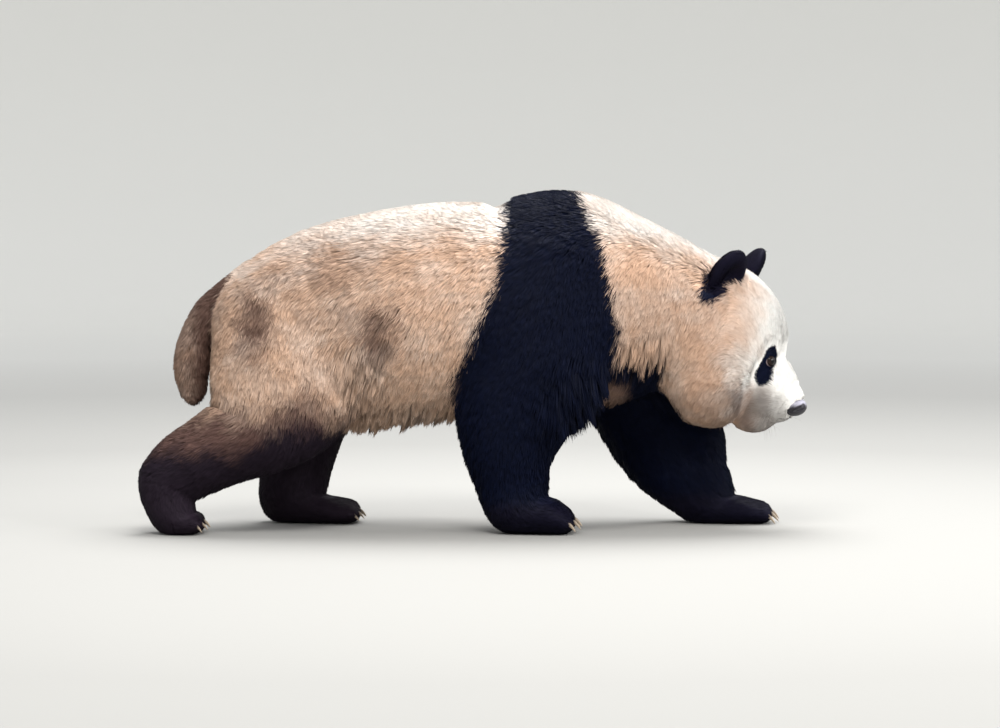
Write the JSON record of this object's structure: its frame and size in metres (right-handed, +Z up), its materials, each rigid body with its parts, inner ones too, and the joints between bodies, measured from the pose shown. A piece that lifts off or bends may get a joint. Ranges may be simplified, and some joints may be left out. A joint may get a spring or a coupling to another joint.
{
  "type": "giant panda, still model",
  "caption": "Life-size still model of an adult giant panda walking with its head low, standing on its four paws.",
  "frame": {"origin": "on the floor, under the middle of the overall length and width", "axes": "+X ahead, the way the animal walks; +Y to its left; +Z up"},
  "size_m": [1.4539, 0.4688, 0.7435],
  "materials": {
    "coat_white": "dense cream-white fur, tan where it is dirty",
    "coat_dusky": "dense fur, cream stained brown and grey",
    "coat_brown": "brown-grey fur",
    "coat_black": "dense blue-black fur, browner on the hind legs",
    "nose_skin": "moist dark skin, slightly pebbled",
    "eye_gloss": "wet, very dark brown",
    "claw_horn": "pale to dark horn, satin"
  },
  "bodies": {
    "root": {"head": "coat_white", "muzzle": "coat_white", "neck": "coat_white", "abdomen": "coat_white", "rump": "coat_dusky", "tail": "coat_brown", "chest": "coat_black", "ear_right": "coat_black", "eye_right": "eye_gloss", "ear_left": "coat_black", "eye_left": "eye_gloss", "nose": "nose_skin", "front_right_upper_leg": "coat_black", "front_right_lower_leg": "coat_black", "front_right_paw": "coat_black", "front_right_claw_1": "claw_horn", "front_right_claw_2": "claw_horn", "front_right_claw_3": "claw_horn", "front_right_claw_4": "claw_horn", "front_right_claw_5": "claw_horn", "front_left_upper_leg": "coat_black", "front_left_lower_leg": "coat_black", "front_left_paw": "coat_black", "front_left_claw_1": "claw_horn", "front_left_claw_2": "claw_horn", "front_left_claw_3": "claw_horn", "front_left_claw_4": "claw_horn", "front_left_claw_5": "claw_horn", "hind_right_upper_leg": "coat_black", "hind_right_lower_leg": "coat_black", "hind_right_paw": "coat_black", "hind_right_claw_1": "claw_horn", "hind_right_claw_2": "claw_horn", "hind_right_claw_3": "claw_horn", "hind_right_claw_4": "claw_horn", "hind_right_claw_5": "claw_horn", "hind_left_upper_leg": "coat_black", "hind_left_lower_leg": "coat_black", "hind_left_paw": "coat_black", "hind_left_claw_1": "claw_horn", "hind_left_claw_2": "claw_horn", "hind_left_claw_3": "claw_horn", "hind_left_claw_4": "claw_horn", "hind_left_claw_5": "claw_horn"}
  },
  "joints": []
}
